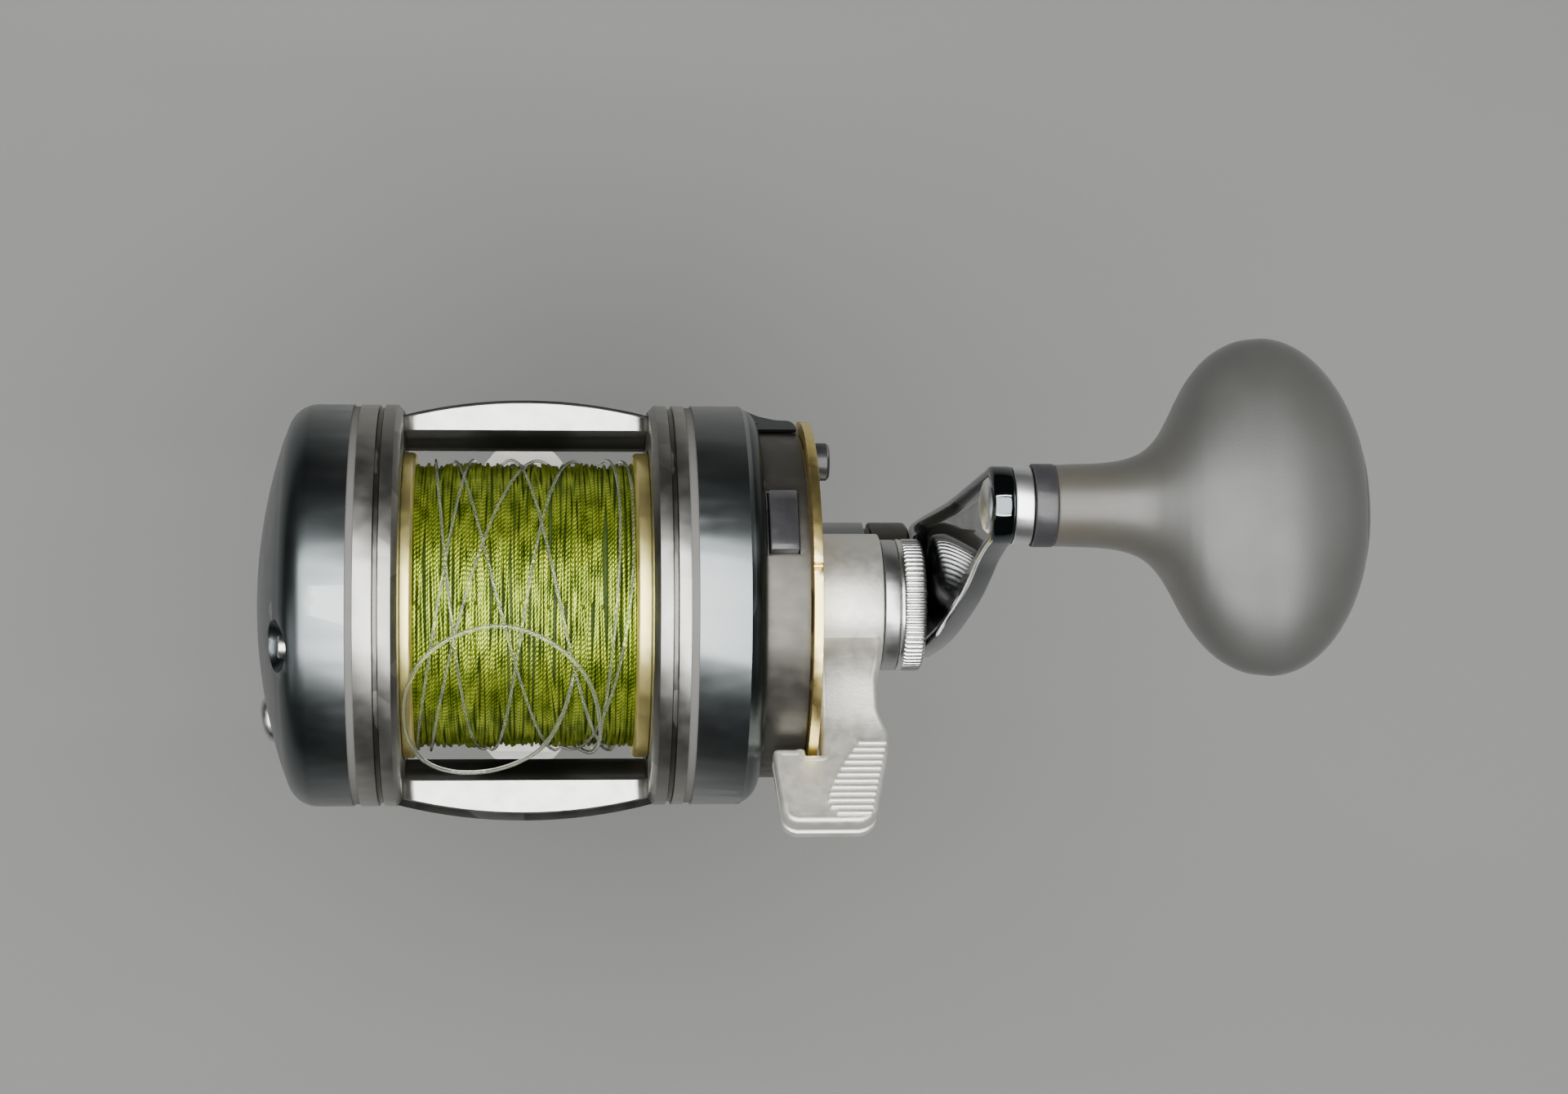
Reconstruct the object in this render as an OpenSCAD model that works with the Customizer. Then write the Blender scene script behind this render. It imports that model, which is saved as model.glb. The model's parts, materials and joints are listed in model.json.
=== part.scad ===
// Lever-drag trolling reel. Millimetres, +Z up, +X to the handle side, +Y to the front where the line leaves.
// The origin is the centre of the reel foot's underside. The spool axis runs along X.

/* [Reel body] */
// Height of the spool axis above the reel foot's underside
axis_z = 43; // [42:0.5:50]
// Outer radius of the side plates and the frame rings
plate_r = 37.5; // [37:0.5:39]
// Thickness of the side plates' walls
wall = 2.5; // [2:0.1:2.8]
// Length of the reel foot along the rod
foot_len = 66; // [60:1:74]
// Width of the reel foot across the rod
foot_w = 18; // [16:0.5:20]

/* [Spool] */
// Radius of the spool's flanges
flange_r = 28.6; // [28:0.1:28.7]
// Radius of the wound line
line_r = 26.5; // [24:0.5:27]
// Radius of the spindle that the spool turns on
spindle_r = 2.5; // [2.2:0.1:2.6]

/* [Gear train] */
// Distance from the spool axis to the handle axis
gear_offset = 19; // [18.8:0.1:19.1]
// Number of teeth on the main gear
gear_teeth = 60; // [56:2:60]
// Number of teeth on the pinion
pinion_teeth = 16; // [16:1:18]
// Thickness of the main gear
gear_w = 3.6; // [3:0.1:3.8]

/* [Drag] */
// Radius of the quadrant drum
drum_r = 32.5; // [32:0.1:33]
// Angle of the drag lever above the rear horizontal, in the free position
lever_rest = 36; // [30:1:40]
// Reach of the lever's tip from the spool axis
lever_reach = 50; // [46:1:54]
// Width of the thumb pad at its tip
pad_w = 16.6; // [14:0.1:17]

/* [Handle] */
// Length of the handle arm between its two axes
arm_len = 99.7; // [90:0.1:106]
// Angle of the handle arm forward of vertical, at rest
arm_lean = 7.7; // [0:0.1:20]
// Length of the grip across the handle
grip_len = 56.4; // [50:0.1:64]
// Depth of the grip
grip_depth = 25; // [20:0.5:28]

/* [Hidden] */
$fn = 96;

fit = 0.05;
tiny = 0.01;

// Stations along the spool axis, from the dome of the left cap to the end of the preset knob
left_face = -49.3;
left_seam = -31.4;
left_ring = [-30, -22.3];
right_ring = [23, 29.5];
right_seam = 31;
plate_face = 43.4;
plate_inner = 40.9;
drum_inner = 49.6;
drum_face = 51.5;
quadrant_t = 1.7;
quadrant_face = drum_face + quadrant_t;
hub = [55.6, 66.6];
collar = [66.9, 69.8];
knob = [69.9, 74.8];
line_span = [-20, 20.2];
flange_span = [-22.7, 23.4];

// Radii about the spool axis
ring_bore = 29.1;
cavity_r = plate_r - wall;
screw_circle = 32.8;
quadrant_r = 34.8;
hub_r = 13.5;
knob_r = 12.2;
bar_inner = 33;
bar_top = 5;
arbor_r = 12;
bearing_r = 8;
sleeve_r = 4.5;

// Handle axis, measured from the spool axis
handle_lean = 9;
handle_y = gear_offset * sin(handle_lean);
handle_z = -gear_offset * cos(handle_lean);
shaft_r = 3.5;
boss_r = 13.2;
arm_span = [75.6, 79.4];
arm_hub_r = 13.2;
eye_r = 6.45;

// Gears
tooth_module = 2 * gear_offset / (gear_teeth + pinion_teeth);
pressure = 20;

// Angles about the spool axis, from the front horizontal up over the top
lever_angle = 180 - lever_rest;
strike_angle = 62.5;
strike_top = 33.9;
peg_angle = 26;
left_screw_angles = [103, 223, 343];
right_screw_angles = [50, 140, 230, 320];
post_angles = [5, 95, 185];
post_circle = 25;
drum_screw_angles = [15, 110, 185];
drum_screw_circle = 26;
quadrant_screw_angles = [8, 60, 118];
quadrant_screw_circle = 24;
guard_screw_angles = [-30, -90, -150];
guard_screw_circle = 9.4;
clicker_angle = 209;
clicker_r = 24.5;

// Free loop of clear leader, as points on the way from the line pack and back into it.
// Each is [X, angle behind the top, distance from the spool axis].
leader_d = 0.8;
leader_route = [
    [9.6, 91, 26.2], [11, 85, 27.3], [12.5, 74, 28.3], [13.6, 62, 28.8], [13.8, 49, 29], [12.2, 31, 29],
    [8.1, 18.6, 28.8], [2, 10.5, 28.6], [-4, 7.6, 28.6], [-9.4, 9, 28.8], [-14.8, 13.7, 29.2],
    [-18.9, 21.5, 29.6], [-21.1, 32.5, 29.9], [-21.4, 43.5, 30.3], [-20.6, 54, 30.8], [-18, 65, 31.5],
    [-13.2, 72.5, 32.1], [-7, 72, 32.2], [-1.4, 66.5, 31.6], [3.5, 58, 30.4], [6.6, 46, 28.8],
    [8.2, 35.5, 27.3], [9, 28, 26.2]
];

// Places
module at_axis() { translate([0, 0, axis_z]) children(); }
module at_handle() { translate([0, handle_y, axis_z + handle_z]) children(); }
module at_eye() { at_handle() rotate([-arm_lean, 0, 0]) translate([0, 0, arm_len]) children(); }
module around(a, r) { rotate([a, 0, 0]) translate([0, r, 0]) children(); }

// A rod along X between two stations, and a solid turned about X from [X, radius] points
module rod(span, r) {
    translate([span[0], 0, 0]) rotate([0, 90, 0]) cylinder(h = span[1] - span[0], r = r);
}
module ring(span, outer, inner) {
    difference() {
        rod(span, outer);
        rod([span[0] - 1, span[1] + 1], inner);
    }
}
module turned(points) { rotate([0, 90, 0]) rotate_extrude() polygon([for (p = points) [p[1], p[0]]]); }
module block(x, y, z) {
    translate([x[0], y[0], z[0]]) cube([x[1] - x[0], y[1] - y[0], z[1] - z[0]]);
}
function arc(cx, cy, r, from, to, n) =
    [for (i = [0:n]) let (a = from + (to - from) * i / n) [cx + r * cos(a), cy + r * sin(a)]];

// A socket-head screw along +X: the head's outer face is at X = 0 and the thread points to +X
module screw(head_r, head_h, thread_r, length) {
    difference() {
        turned([[0, 0], [0, head_r - 0.3], [0.3, head_r], [head_h, head_r], [head_h, thread_r],
            [length, thread_r], [length, 0]]);
        translate([-1, 0, 0]) rotate([0, 90, 0]) cylinder(h = 1 + head_h * 0.6, r = head_r * 0.5, $fn = 6);
    }
}

// Involute spur gear about X
function involute(a) = tan(a) * 180 / PI - a;
function flank_angle(r, base, pitch, thick) =
    let (a = r > base ? acos(base / r) : 0)
    thick / (2 * pitch) * 180 / PI + involute(pressure) - involute(a);
function tooth(teeth, steps = 4) =
    let (
        pitch = tooth_module * teeth / 2,
        base = pitch * cos(pressure),
        tip = pitch + 0.8 * tooth_module,
        root = pitch - 1.15 * tooth_module,
        thick = 0.44 * PI * tooth_module,
        low = max(base, root),
        radii = concat([root], [for (i = [0:steps]) low + tiny + (tip - low - tiny) * i / steps])
    )
    concat(
        [for (r = radii) [r, -flank_angle(r, base, pitch, thick)]],
        [for (i = [len(radii) - 1:-1:0]) [radii[i], flank_angle(radii[i], base, pitch, thick)]]
    );
function gear_outline(teeth, turn) =
    [for (k = [0:teeth - 1]) for (p = tooth(teeth))
        let (a = turn + k * 360 / teeth + p[1]) [p[0] * cos(a), p[0] * sin(a)]];
module gear(span, teeth, turn) {
    translate([span[0], 0, 0]) rotate([0, 90, 0]) rotate([0, 0, 90])
        linear_extrude(span[1] - span[0]) polygon(gear_outline(teeth, turn));
}

// Frame: two rings joined by three bars, cut from one piece
module frame_ring(outside, inside) {
    s = sign(inside);
    groove = 0.6;
    turned([[outside, ring_bore], [outside, plate_r], [inside + s * 4.4, plate_r],
        [inside + s * 4.2, plate_r - groove], [inside + s * 3.5, plate_r - groove],
        [inside + s * 3.3, plate_r], [inside + s * 1.1, plate_r], [inside, plate_r - 1.2],
        [inside, ring_bore]]);
}
// A bar's flat top ends in a small hollow curve against each ring. Its outer side bows outward.
module bar_end(x, s, y) {
    r = 3;
    difference() {
        block([min(x, x + s * r), max(x, x + s * r)], y, [bar_top - 1, bar_top + r]);
        translate([x + s * r, y[0] - 1, bar_top + r]) rotate([-90, 0, 0])
            cylinder(h = y[1] - y[0] + 2, r = r);
    }
}
module bar(points, bow, reach, edge) {
    side = sign(reach);
    sides = [min(side * 30, side * 42), max(side * 30, side * 42)];
    intersection() {
        difference() {
            union() {
                translate([left_ring[1] - 1, 0, 0]) rotate([90, 0, 90])
                    linear_extrude(right_ring[0] - left_ring[1] + 2) polygon(points);
                bar_end(left_ring[1], 1, sides);
                bar_end(right_ring[0], -1, sides);
            }
            rod([left_ring[1] - 2, right_ring[0] + 2], bar_inner);
        }
        translate([0.35, reach - side * bow, 0]) rotate_extrude($fn = 200) polygon([
            [0, -40], [bow, -40], [bow, bar_top - edge], [bow - edge, bar_top], [bow - edge, 20], [0, 20]
        ]);
    }
}
module frame() {
    color("#5a5c58") at_axis() difference() {
        union() {
            frame_ring(left_ring[0], left_ring[1]);
            frame_ring(right_ring[1], right_ring[0]);
            bar([[28, bar_top], [42, bar_top], [42, -5], [38.4, -5], [35, -13], [28, -15]],
                92, 38.2, 0.6);
            bar([[-28, bar_top], [-42, bar_top], [-42, -4], [-40.4, -4], [-36, -13], [-28, -15]],
                95, -40.2, 1.7);
            difference() {
                block([left_ring[1] - 1, right_ring[0] + 1], [-16, 16], [-plate_r, -27]);
                rod([left_ring[1] - 2, right_ring[0] + 2], bar_inner);
            }
        }
        for (a = left_screw_angles) around(a, screw_circle) rod([left_ring[0] - 1, -25.5], 1.55);
        for (a = right_screw_angles) around(a, screw_circle - 1) rod([25.5, right_ring[1] + 1], 1.55);
        foot_holes(1.55, 9);
    }
}
module foot_holes(r, top) {
    for (x = [-5, 5], y = [-10, 10]) translate([x, y, -axis_z - 1]) cylinder(h = top + 1, r = r);
}
module reel_foot() {
    color("#4a4c4c") difference() {
        intersection() {
            translate([-foot_w / 2, 0, 0]) rotate([90, 0, 90]) linear_extrude(foot_w) polygon([
                [-foot_len / 2, 0], [foot_len / 2, 0], [foot_len / 2, 1.4], [foot_len / 4, 3],
                [15.5, 3.6], [14.5, axis_z - plate_r], [-14.5, axis_z - plate_r], [-15.5, 3.6],
                [-foot_len / 4, 3], [-foot_len / 2, 1.4]
            ]);
            linear_extrude(20) {
                square([foot_w, foot_len - foot_w], center = true);
                for (s = [-1, 1]) translate([0, s * (foot_len - foot_w) / 2]) circle(d = foot_w);
            }
        }
        translate([0, 0, axis_z]) foot_holes(1.55, 9);
        for (x = [-5, 5], y = [-10, 10]) translate([x, y, -1]) cylinder(h = 3.2, r = 2.7);
    }
}
module foot_screws() {
    color("#b8b8b4") for (x = [-5, 5], y = [-10, 10])
        translate([x, y, 0.3]) rotate([0, -90, 0]) screw(2.6, 1.9, 1.5, 8);
}

// Left side
function dome_x(r) = left_face + r * r / 191;
module cap_body() {
    turned(concat([[left_ring[0], 0], [left_ring[0], 34.4], [left_seam, 34.4], [left_seam, plate_r]],
        arc(-38, plate_r - 5.5, 5.5, 90, 165, 8),
        [for (r = [31:-3.1:0]) [dome_x(r), r]], [[dome_x(0), 0]]));
}
module left_cap() {
    color("#39434a") at_axis() difference() {
        union() {
            difference() {
                cap_body();
                turned(concat([[left_ring[0] + 1, 0], [left_ring[0] + 1, cavity_r], [-38, cavity_r]],
                    arc(-38, plate_r - 5.5, 5.5 - wall, 90, 165, 6),
                    [for (r = [28:-4:0]) [dome_x(r) + wall, r]]));
            }
            intersection() {
                cap_body();
                union() {
                    for (a = left_screw_angles) around(a, screw_circle) rod([-44, left_ring[0]], 3.4);
                    rod([-48, -38], 6.5);
                }
            }
        }
        rod([-45.5, -37], 4);
        for (a = left_screw_angles) around(a, screw_circle) {
            rod([-60, -29], 1.55);
            rod([-60, -41.4], 2.2);
            translate([-45.6, 0, 0]) sphere(r = 5.2);
        }
        clicker_place() block([-4, 5], [-6.4, 2.3], [-2.2, 2.2]);
    }
}
module left_gasket() {
    color("#2c2c2a") at_axis() ring([left_seam, left_ring[0]], plate_r - 0.35, cavity_r - 0.4);
}
module left_cap_screws() {
    color("#b8b8b4") at_axis() for (a = left_screw_angles)
        around(a, screw_circle) translate([-43.2, 0, 0]) screw(2.1, 1.8, 1.5, 17);
}
module left_bushing() { color("#b08d57") at_axis() ring([-45.4, -38.2], 4, spindle_r + fit); }

// Clicker: a button that slides across the dome and carries a pawl to the toothed wheel on the spool
clicker_tilt = 13.5;
module clicker_place() {
    around(clicker_angle, clicker_r) translate([dome_x(clicker_r), 0, 0])
        rotate([0, 0, -clicker_tilt]) children();
}
module clicker_button() {
    color("#8e9290") at_axis() clicker_place() {
        turned(concat([[6.4, 0], [6.4, 2], [-0.7, 2], [-0.7, 4.5]], arc(-1.4, 2.9, 1.6, 90, 165, 6),
            [[-3.2, 0]]));
    }
}
module clicker_pawl() {
    color("#9a9a94") at_axis() around(clicker_angle, 0) difference() {
        union() {
            block([-41.5, -38.5], [19, 26.5], [-2.6, 2.6]);
            block([-39, -23.4], [23.8, 26.4], [-1.6, 1.6]);
            block([-25.4, -23.4], [17.6, 26], [-1.6, 1.6]);
        }
        translate([dome_x(clicker_r), clicker_r, 0]) rotate([0, 0, -clicker_tilt]) rod([-1, 6.5], 2.02);
    }
}
module clicker_gear() {
    color("#b8b8b4") at_axis() difference() {
        translate([flange_span[0] - 1.9, 0, 0]) rotate([0, 90, 0]) linear_extrude(1.9)
            polygon([for (k = [0:35])
                let (a = k * 10, r = k % 2 == 0 ? 12.6 : 11.2) [r * cos(a), r * sin(a)]]);
        rod([-30, 0], bearing_r + 0.2);
    }
}

// Spool and what turns with it
module spindle() {
    color("#c2c2be") at_axis() turned([[-44.6, 0], [-44.6, 2], [-44.1, spindle_r], [-25.4, spindle_r],
        [-25.4, 4.2], [flange_span[0] - fit, 4.2], [flange_span[0] - fit, spindle_r],
        [73.2, spindle_r], [73.2, 0]]);
}
module spool() {
    edge = 0.5;
    color("#c9a24a") at_axis() turned([
        [flange_span[0], bearing_r], [flange_span[0], flange_r - edge], [flange_span[0] + edge, flange_r],
        [line_span[0] - edge, flange_r], [line_span[0], flange_r - edge], [line_span[0], arbor_r],
        [line_span[1], arbor_r], [line_span[1], flange_r - edge], [line_span[1] + edge, flange_r],
        [flange_span[1] - edge, flange_r], [flange_span[1], flange_r - edge], [flange_span[1], bearing_r],
        [flange_span[1] - 5, bearing_r], [flange_span[1] - 5, 4], [flange_span[0] + 5, 4],
        [flange_span[0] + 5, bearing_r]
    ]);
}
module line_pack() { color("#7f9e2c") at_axis() ring(line_span, line_r, arbor_r); }
module spool_bearings() {
    color("#c2c2be") at_axis() {
        ring([flange_span[0], flange_span[0] + 5], bearing_r, spindle_r + fit);
        ring([flange_span[1] - 5, flange_span[1]], bearing_r, spindle_r + fit);
    }
}
module drag_washer() { color("#2a2a2a") at_axis() ring([flange_span[1], flange_span[1] + 1], 27, arbor_r); }

// The free loop of leader: smooth curve through the route, swept with eight sides
function route_point(p) = [p[0], -p[2] * sin(p[1]), axis_z + p[2] * cos(p[1])];
function smooth(a, b, c, d, t) =
    0.5 * (2 * b + (c - a) * t + (2 * a - 5 * b + 4 * c - d) * t * t + (3 * b - a - 3 * c + d) * t * t * t);
function unit(v) = v / norm(v);
module leader_loop() {
    steps = 3;
    sides = 8;
    pts = [for (p = leader_route) route_point(p)];
    last = len(pts) - 1;
    path = concat([for (i = [0:last - 1]) for (k = [0:steps - 1])
        smooth(pts[max(i - 1, 0)], pts[i], pts[i + 1], pts[min(i + 2, last)], k / steps)], [pts[last]]);
    count = len(path);
    rings = [for (i = [0:count - 1]) let (
            along = unit(path[min(i + 1, count - 1)] - path[max(i - 1, 0)]),
            outward = [0, path[i][1], path[i][2] - axis_z],
            across = unit(cross(along, outward)),
            up = cross(across, along)
        ) for (k = [0:sides - 1]) path[i]
            + leader_d / 2 * (cos(k * 360 / sides) * across + sin(k * 360 / sides) * up)];
    walls = [for (i = [0:count - 2]) for (k = [0:sides - 1])
        let (a = i * sides + k, b = i * sides + (k + 1) % sides)
        each [[a, a + sides, b], [b, a + sides, b + sides]]];
    ends = [for (k = [1:sides - 2]) each [[0, k, k + 1],
        [(count - 1) * sides, (count - 1) * sides + k + 1, (count - 1) * sides + k]]];
    color("#d8dccb") polyhedron(points = rings, faces = concat(walls, ends));
}

// Gear train
pinion_turn = handle_lean - 90;
gear_turn = handle_lean + 90 + 180 / gear_teeth;
gear_x = 33.2;
module drive_plate() {
    color("#8c8c88") at_axis() turned([[24.95, sleeve_r], [24.95, 27.4], [26.8, 27.4], [27.2, 14], [29.1, 10],
        [29.1, sleeve_r]]);
}
module pinion() {
    color("#b08d57") at_axis() difference() {
        union() {
            rod([25, gear_x], sleeve_r);
            gear([gear_x - tiny, gear_x + gear_w + 0.2], pinion_teeth, pinion_turn);
            rod([gear_x + gear_w, 42.4], 3.2);
        }
        rod([24, 43], spindle_r + fit);
    }
}
module pinion_bearing() { color("#c2c2be") at_axis() ring([29.9, 32.3], bearing_r, sleeve_r + fit); }
module inner_plate() {
    color("#9a9a94") {
        at_axis() difference() {
            rod([29.9, 32.3], 28);
            rod([29, 33], bearing_r);
            translate([0, handle_y, handle_z]) rod([29, 33], 5);
            for (a = post_angles) around(a, post_circle) rod([29, 33], 1.25);
        }
        at_axis() for (a = post_angles) around(a, post_circle) translate([29.3, 0, 0]) screw(2, 0.6, 1.2, 7);
    }
}
module main_gear() {
    color("#b9a06a") at_handle() difference() {
        gear([gear_x, gear_x + gear_w], gear_teeth, gear_turn);
        rod([gear_x - 1, gear_x + gear_w + 1], 4);
        for (a = [0:60:300]) around(a, 9.4) rod([gear_x - 1, gear_x + gear_w + 1], 2.4);
    }
}
module gear_shaft() {
    color("#b8b8b4") at_handle() turned([[30, 0], [30, spindle_r], [gear_x - 0.2, spindle_r],
        [gear_x - 0.2, 4], [40.6, 4], [40.6, shaft_r], [arm_span[1] + 1.6, shaft_r],
        [arm_span[1] + 1.6, 2.8], [85.4, 2.8], [85.8, 2.4], [85.8, 0]]);
}
module shaft_bushings() {
    color("#b08d57") at_handle() {
        ring([29.9, 32.3], 5, spindle_r + fit);
        ring([44, 50], 4.8, shaft_r + fit);
        ring([67, 74.2], 4.8, shaft_r + fit);
    }
}
module ratchet_wheel() {
    teeth = 12;
    color("#9a9a94") at_handle() translate([37.5, 0, 0]) rotate([0, 90, 0]) linear_extrude(2.1) difference() {
        polygon([for (k = [0:teeth - 1]) for (p = [[0, 8.9], [4, 7.3]])
            let (a = k * 360 / teeth + p[0]) [p[1] * cos(a), p[1] * sin(a)]]);
        circle(r = 4);
    }
}
// A dog's own outline is drawn from its pin: the tip lies just off the ratchet wheel
dog_pin = 13.2;
module dog() {
    translate([37.7, 0, 0]) rotate([90, 0, 90]) linear_extrude(1.8) difference() {
        union() {
            circle(r = 2.1);
            rotate(-45) polygon([[-0.6, 1.9], [-9.6, 0.8], [-9.9, -0.1], [-9.3, -0.3], [-1.5, -1.4]]);
        }
        circle(r = 1.05);
    }
}
module dog_front() { color("#b8b8b4") at_handle() around(30, dog_pin) dog(); }
module dog_rear() { color("#b8b8b4") at_handle() around(210, dog_pin) dog(); }
module dog_pins() {
    color("#c2c2be") at_handle() for (a = [30, 210]) around(a, dog_pin) {
        rod([37.4, plate_inner], 1);
        rod([36.9, 37.5], 1.8);
    }
}

// Right side plate with the housing that carries the handle's shaft past the drag lever
module right_gasket() {
    color("#2c2c2a") at_axis() ring([right_ring[1], right_seam], plate_r - 0.35, cavity_r);
}
// A shoulder that runs from the plate's edge out over the front of the drum. Its upper end slopes
// down to the front.
module fairing() {
    intersection() {
        turned(concat([[40, drum_r + 0.1], [40, 37.2], [41.5, 36.6], [44, 35.6], [47, 35]],
            arc(49.2, drum_r + 0.8, 1.6, 80, 0, 6), [[50.8, drum_r + 0.1]]));
        rotate([-16, 0, 0]) block([39, 52], [30, 39], [0, 20]);
        translate([0, drum_r - 0.8, 7.5]) rotate([-50, 0, 0]) block([39, 52], [-15, 25], [-30, 0]);
    }
}
module right_plate() {
    color("#39434a") at_axis() difference() {
        union() {
            turned(concat([[right_seam, cavity_r], [right_seam, plate_r], [40.2, plate_r]],
                arc(39, 33, 4.4, 68, 0, 10),
                [[plate_face, 0], [plate_inner, 0], [plate_inner, 32.6], [38.6, cavity_r]]));
            for (a = right_screw_angles) around(a, screw_circle - 1) rod([right_ring[1], 41], 3);
            for (a = post_angles) around(a, post_circle) rod([32.3, 41], 2.4);
            fairing();
            difference() {
                translate([0, handle_y, handle_z]) rod([plate_face - 1, 65.6], boss_r);
                rod([plate_face, 66], hub_r + 0.4);
            }
        }
        for (a = right_screw_angles) around(a, screw_circle - 1) {
            rod([29, 45], 1.55);
            rod([41.6, 45], 2.6);
        }
        for (a = post_angles) around(a, post_circle) rod([32, 37], 1.25);
        rod([40, 44], 3.2 + fit);
        translate([0, handle_y, handle_z]) {
            rod([40, 67], 4.8);
            for (a = guard_screw_angles) around(a, guard_screw_circle) rod([60, 67], 1);
        }
    }
}
module right_plate_screws() {
    color("#b8b8b4") at_axis() for (a = right_screw_angles)
        around(a, screw_circle - 1) translate([43.3, 0, 0]) mirror([1, 0, 0]) screw(2.5, 1.6, 1.5, 16);
}
module shaft_guard() {
    color("#2f3437") at_axis() difference() {
        translate([0, handle_y, handle_z]) turned([[65.6, 0], [65.6, boss_r - 1.2], [67, boss_r - 1.2],
            [67, boss_r], [73.8, boss_r], [74.4, boss_r - 0.6], [74.4, 0]]);
        rod([65, 75], hub_r + 0.4);
        translate([0, handle_y, handle_z]) {
            rod([65, 75], 4.8);
            for (a = guard_screw_angles) around(a, guard_screw_circle) {
                rod([65, 75], 1.05);
                rod([72.6, 75], 1.9);
            }
        }
    }
}
module guard_screws() {
    color("#b8b8b4") at_handle() for (a = guard_screw_angles)
        around(a, guard_screw_circle) translate([74.2, 0, 0]) mirror([1, 0, 0]) screw(1.8, 1.5, 0.95, 12);
}

// Drag quadrant
module quadrant_drum() {
    color("#3a3835") at_axis() difference() {
        union() {
            turned([[plate_face, drum_r - 3], [plate_face, drum_r], [drum_face - 0.4, drum_r],
                [drum_face, drum_r - 0.4], [drum_face, 14.2], [drum_inner, 14.2], [drum_inner, drum_r - 3]]);
            for (a = drum_screw_angles) around(a, drum_screw_circle) rod([plate_face, 50], 3);
        }
        for (a = drum_screw_angles) around(a, drum_screw_circle) {
            rod([plate_face - 1, 52], 1.25);
            rod([50.2, 52], 2.3);
        }
        for (a = quadrant_screw_angles) around(a, quadrant_screw_circle) rod([49, 52], 1);
        translate([0, handle_y, handle_z]) rod([plate_face - 1, drum_face + 1], boss_r + 0.4);
        around(strike_angle, 0) block([43.7, 49.3], [26, 36], [-6.3, 6.3]);
    }
}
module drum_screws() {
    color("#b8b8b4") at_axis() for (a = drum_screw_angles)
        around(a, drum_screw_circle) translate([51.4, 0, 0]) mirror([1, 0, 0]) screw(2.2, 1.2, 1.2, 8);
}
module quadrant_plate() {
    color("#d2a64a") at_axis() difference() {
        rod([drum_face, quadrant_face], quadrant_r);
        rod([50, 54], 14.4);
        translate([50, 0, 0]) rotate([90, 0, 90]) linear_extrude(5) polygon([
            [0, 0], [60 * cos(-7), 60 * sin(-7)], [60, -60], [-60, -60], [60 * cos(152), 60 * sin(152)]
        ]);
        around(78.5, quadrant_r) rod([50, 54], 0.7);
        for (a = quadrant_screw_angles) around(a, quadrant_screw_circle) {
            rod([50, 54], 1);
            rod([52.3, 54], 1.8);
        }
    }
}
module quadrant_screws() {
    color("#8e8e88") at_axis() for (a = quadrant_screw_angles)
        around(a, quadrant_screw_circle) translate([53.1, 0, 0]) mirror([1, 0, 0]) screw(1.7, 0.8, 0.95, 3.4);
}
module strike_button() {
    color("#262626") at_axis() around(strike_angle, 0) union() {
        intersection() {
            block([43.9, 49.1], [28.2, 36], [-6.1, 6.1]);
            rod([43, 50], strike_top);
        }
        block([44.3, 48.7], [26.8, 28.2], [-7.6, 7.6]);
    }
}
module stop_peg() {
    color("#202020") at_axis() around(peg_angle, 29.5) turned([[quadrant_face, 0], [quadrant_face, 3.5],
        [55.6, 3.5], [56.1, 3], [56.1, 0]]);
}
module spring_washers() {
    color("#b8b8b4") at_axis() for (k = [0:3]) let (x = 44 + k * 0.75, lift = k % 2 == 0 ? 0.35 : -0.35)
        turned([[x - lift / 2, spindle_r + 0.15], [x + lift / 2, 6], [x + lift / 2 + 0.35, 6],
            [x - lift / 2 + 0.35, spindle_r + 0.15]]);
}
module lever_cam() {
    color("#9a9a94") at_axis() difference() {
        union() {
            rod([47.2, 49.4], 12);
            rod([49, 61.4], 6);
        }
        rod([47, 62], spindle_r + fit);
    }
}
module drag_lever() {
    tip_right = 62.9;
    pad_left = 45.1;
    slot = [51.1, 53.9];
    slot_reach = 35.5;
    color("#8f8d86") at_axis() union() {
        difference() {
            rod([53.9, hub[1]], hub_r);
            rod([53, 61.5], 6);
            rod([53, 67], spindle_r + fit);
        }
        rotate([lever_angle, 0, 0]) difference() {
            translate([0, 0, -3]) linear_extrude(6) polygon(concat(
                [[53.9, 10], [66.4, 10], [66.4, 13], [65.6, 18], [64.9, 22], [64.9, 25], [65.8, 28],
                    [66.4, 30.5], [66.2, 33.5]],
                arc(tip_right - 3.2, lever_reach - 3.2, 3.2, 5, 80, 5),
                arc(tip_right - pad_w + 2.6, lever_reach - 2.6, 2.6, 100, 176, 5),
                [[pad_left, 34.2], [slot[0], 34.2], [slot[0], slot_reach], [slot[1], slot_reach]]
            ));
            rod([53, 67], hub_r - 1);
        }
    }
}
module preset_collar() { color("#3c4043") at_axis() ring(collar, 12.4, spindle_r + fit); }
module preset_knob() {
    ridges = 60;
    color("#c8c8c6") at_axis() difference() {
        union() {
            rod([knob[0], knob[0] + 0.7], knob_r + 0.3);
            translate([knob[0] + 0.6, 0, 0]) rotate([0, 90, 0]) linear_extrude(knob[1] - knob[0] - 0.6)
                polygon([for (k = [0:2 * ridges - 1]) let (a = k * 180 / ridges, r = knob_r + (k % 2) * 0.4)
                    [r * cos(a), r * sin(a)]]);
        }
        rod([69, 73.6], spindle_r + fit);
    }
}

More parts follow.
